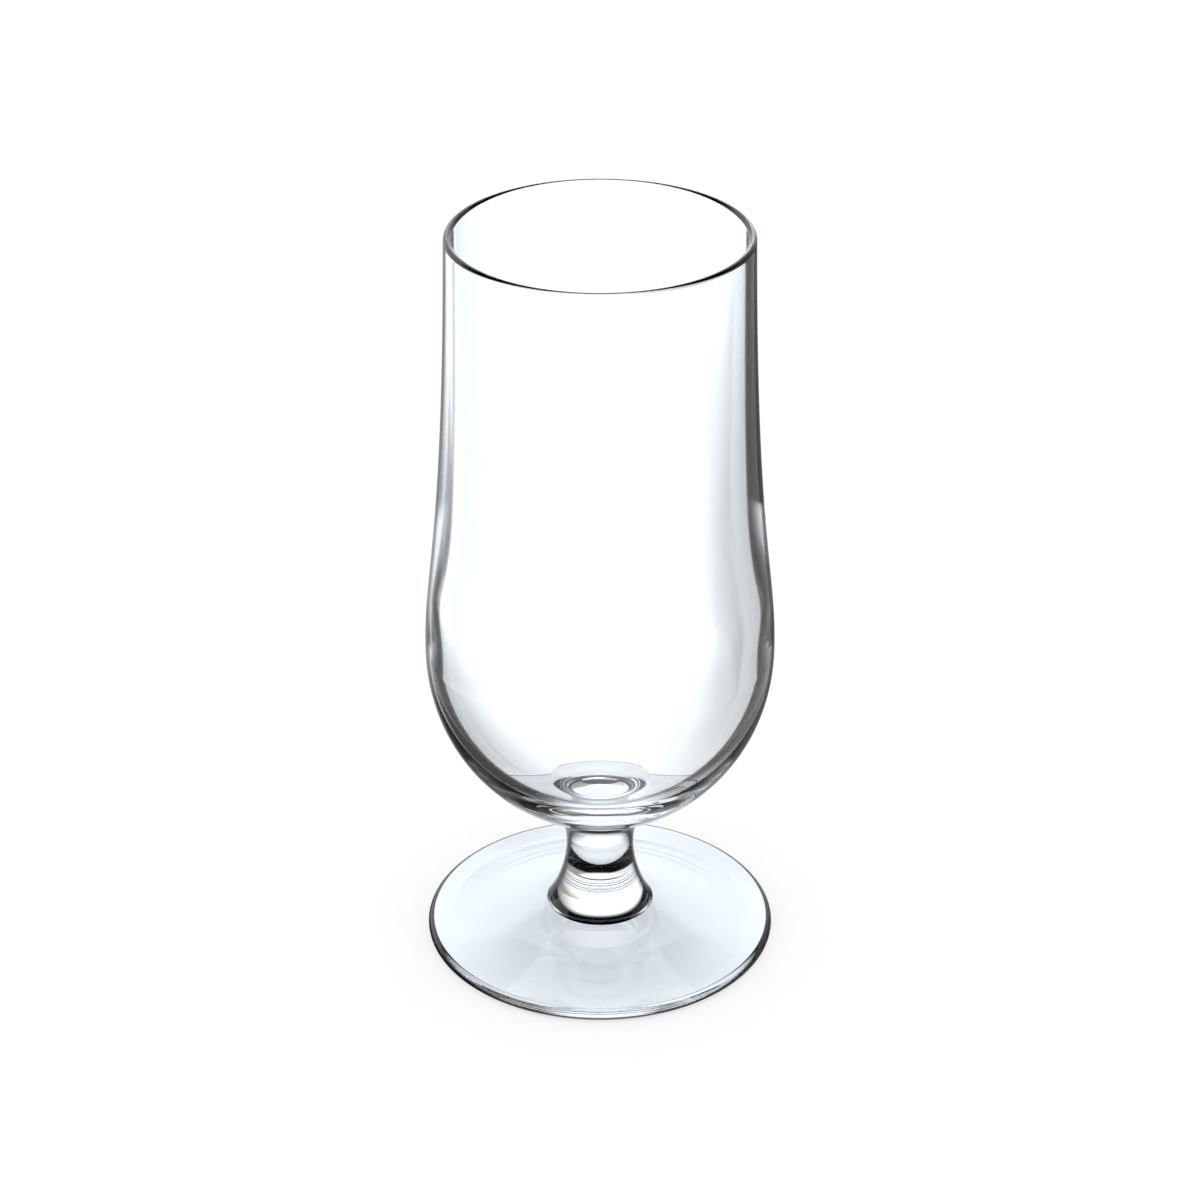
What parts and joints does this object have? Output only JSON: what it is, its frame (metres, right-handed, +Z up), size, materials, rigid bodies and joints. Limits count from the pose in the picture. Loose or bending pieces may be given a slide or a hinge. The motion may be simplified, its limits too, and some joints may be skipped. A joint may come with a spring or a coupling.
{
  "type": "pilsner glass",
  "caption": "Footed pilsner glass: clear bowl with a round belly and a slim wall that tapers to the rim, on a short waisted stem and a wide round foot. Holds a cold drink.",
  "frame": {"origin": "middle of the foot, at the level of the table", "axes": "+Z up along the axis of the glass, from the foot to the rim; the glass is round, so +X and +Y are free choices"},
  "size_m": [0.0828, 0.0828, 0.178],
  "materials": {
    "clear_glass": "clear, smooth and fire-polished"
  },
  "bodies": {
    "root": {"bowl": "clear_glass", "stem": "clear_glass", "foot": "clear_glass"}
  },
  "joints": []
}
